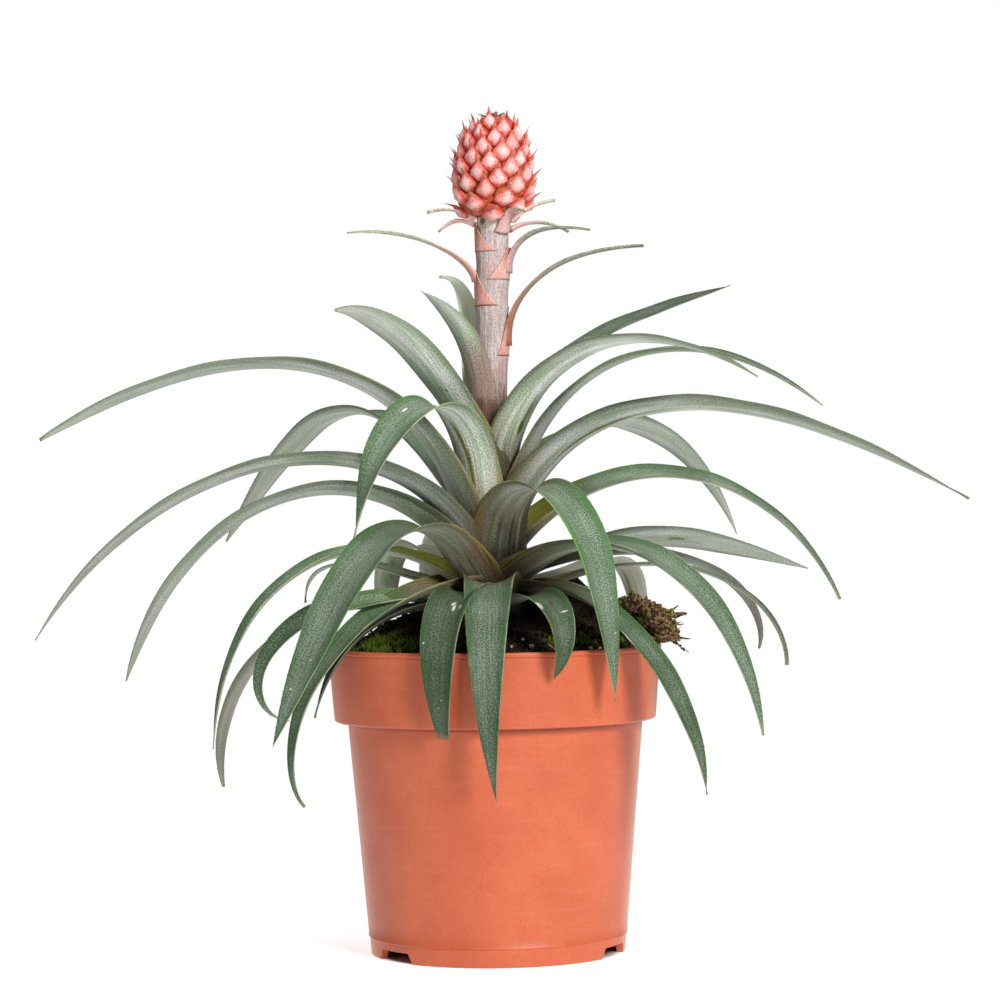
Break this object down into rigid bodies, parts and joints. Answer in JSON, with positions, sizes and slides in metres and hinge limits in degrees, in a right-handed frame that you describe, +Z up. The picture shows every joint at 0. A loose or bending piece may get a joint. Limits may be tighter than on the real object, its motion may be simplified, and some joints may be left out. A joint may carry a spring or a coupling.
{
  "type": "potted ornamental pineapple plant",
  "caption": "Ornamental pineapple plant in fruit: a rosette of arching channelled leaves round a stalk with a small pink fruit, in a round tapered plastic nursery pot.",
  "frame": {"origin": "on the pot's axis, at the surface that the pot stands on", "axes": "+Z up along the pot's axis; -Y to the front; +X to the plant's right as seen from the front, along its widest spread"},
  "size_m": [0.3152, 0.2128, 0.3025],
  "materials": {
    "pot": "satin",
    "soil": "matte",
    "peat": "matte",
    "stalk": "matte",
    "fruit": "satin",
    "tuft": "matte",
    "bract": "matte",
    "leaf": "matte"
  },
  "bodies": {
    "root": {"pot": "pot", "soil": "soil", "peat_clump": "peat", "stem_and_stalk": "stalk", "fruit": "fruit", "fruit_tuft": "tuft", "bract_right_tiny": "bract", "bract_left_under_fruit": "bract", "bract_front": "bract", "bract_left_curled": "bract", "bract_right_back": "bract", "bract_back": "bract", "bract_right_upper": "bract", "bract_left_long": "bract", "bract_right_lower": "bract", "leaf_short_left": "leaf", "leaf_back_left_upright": "leaf", "leaf_upper_right_back": "leaf", "leaf_upper_right": "leaf", "leaf_upper_left": "leaf", "leaf_back_1": "leaf", "leaf_upper_right_low": "leaf", "leaf_right_back_drooping": "leaf", "leaf_right_long": "leaf", "leaf_left_long_high": "leaf", "leaf_back_left_broad": "leaf", "leaf_front_left_arched": "leaf", "leaf_left_long_mid": "leaf", "leaf_back_2": "leaf", "leaf_front_right_arched": "leaf", "leaf_left_long_low": "leaf", "leaf_right_mid": "leaf", "leaf_back_left_hanging_low": "leaf", "leaf_back_3": "leaf", "leaf_back_right_hanging": "leaf", "leaf_back_left_hanging": "leaf", "leaf_right_back_pale": "leaf", "leaf_right_dark": "leaf", "leaf_right_front": "leaf", "leaf_front_left_broad": "leaf", "leaf_left_folded": "leaf", "leaf_front_centre": "leaf", "leaf_left_thin_back": "leaf", "leaf_right_blunt": "leaf", "leaf_back_4": "leaf", "leaf_front_left_low": "leaf", "leaf_front_right_low": "leaf", "leaf_left_grey": "leaf", "leaf_left_hooked": "leaf", "leaf_front_left_cut": "leaf", "leaf_front_right_short": "leaf", "leaf_left_thin_low": "leaf", "leaf_left_soil": "leaf"}
  },
  "joints": []
}
